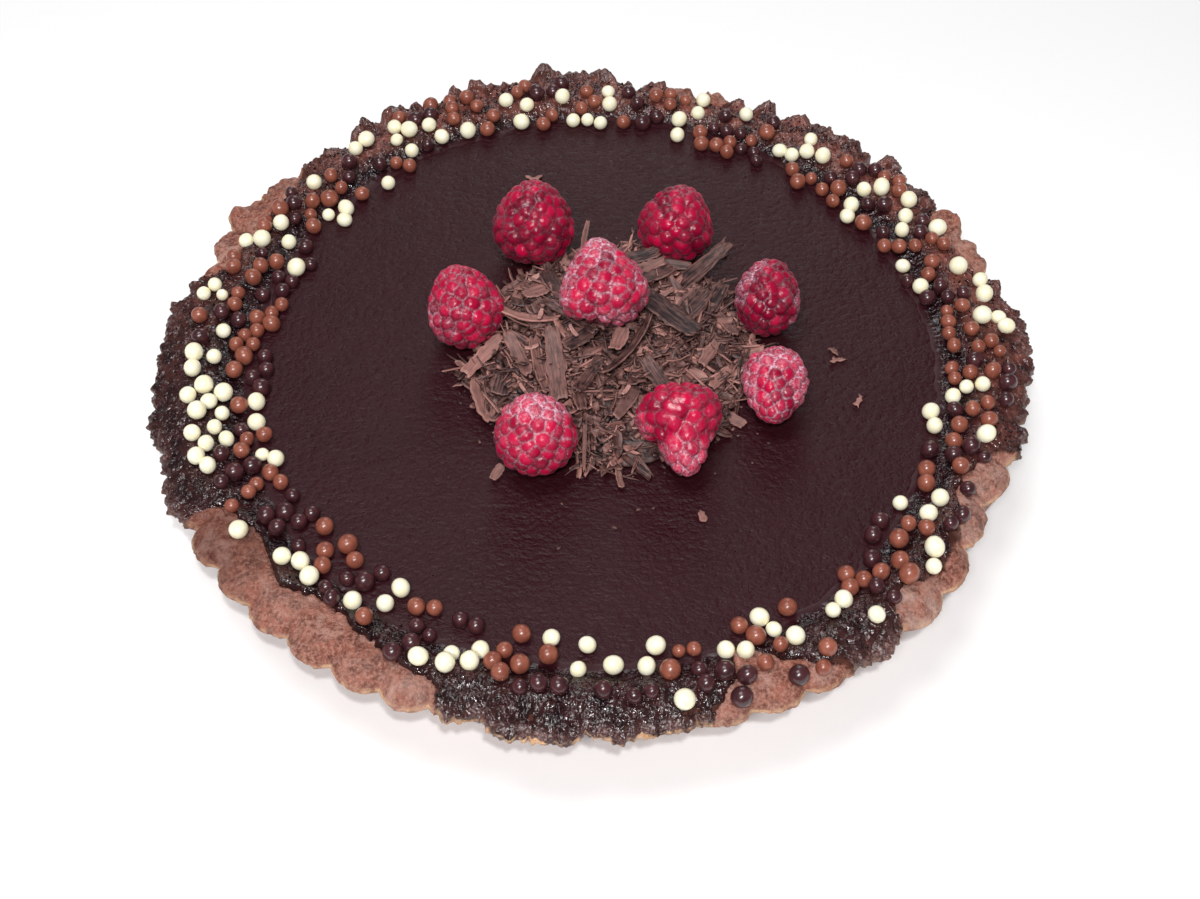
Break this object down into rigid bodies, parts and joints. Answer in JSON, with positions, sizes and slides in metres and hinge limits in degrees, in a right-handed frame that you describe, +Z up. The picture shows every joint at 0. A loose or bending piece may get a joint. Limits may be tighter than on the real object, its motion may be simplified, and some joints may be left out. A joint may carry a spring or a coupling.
{
  "type": "chocolate tart",
  "caption": "Round chocolate tart: fluted cocoa pastry, baked filling over the rim, ganache top, a heap of chocolate shavings and raspberries on it.",
  "frame": {"origin": "middle of the flat base, on the surface the tart rests on", "axes": "+Z up out of the tart's top, -Y towards the front as first seen, +X to the right"},
  "size_m": [0.2432, 0.2432, 0.0589],
  "materials": {
    "cocoa_pastry": null,
    "baked_chocolate": "dark baked chocolate filling, crumbly with small wet glints",
    "ganache": "smooth poured dark chocolate, softly glossy with shallow ripples",
    "shavings": "dull dark chocolate shavings and curls with lighter scraped faces",
    "raspberry": "crimson drupelets with pale frost in the grooves",
    "white_pearl": "ivory white-chocolate pearls, softly glossy",
    "milk_pearl": "milk-chocolate pearls, softly glossy",
    "dark_pearl": "dark-chocolate pearls, softly glossy"
  },
  "bodies": {
    "root": {"pastry_case": "cocoa_pastry", "baked_filling": "baked_chocolate", "ganache_top": "ganache", "shavings_heap": "shavings", "raspberry_1": "raspberry", "raspberry_2": "raspberry", "raspberry_3": "raspberry", "raspberry_4": "raspberry", "raspberry_5": "raspberry", "raspberry_6": "raspberry", "raspberry_7": "raspberry", "raspberry_8": "raspberry"}
  },
  "joints": []
}
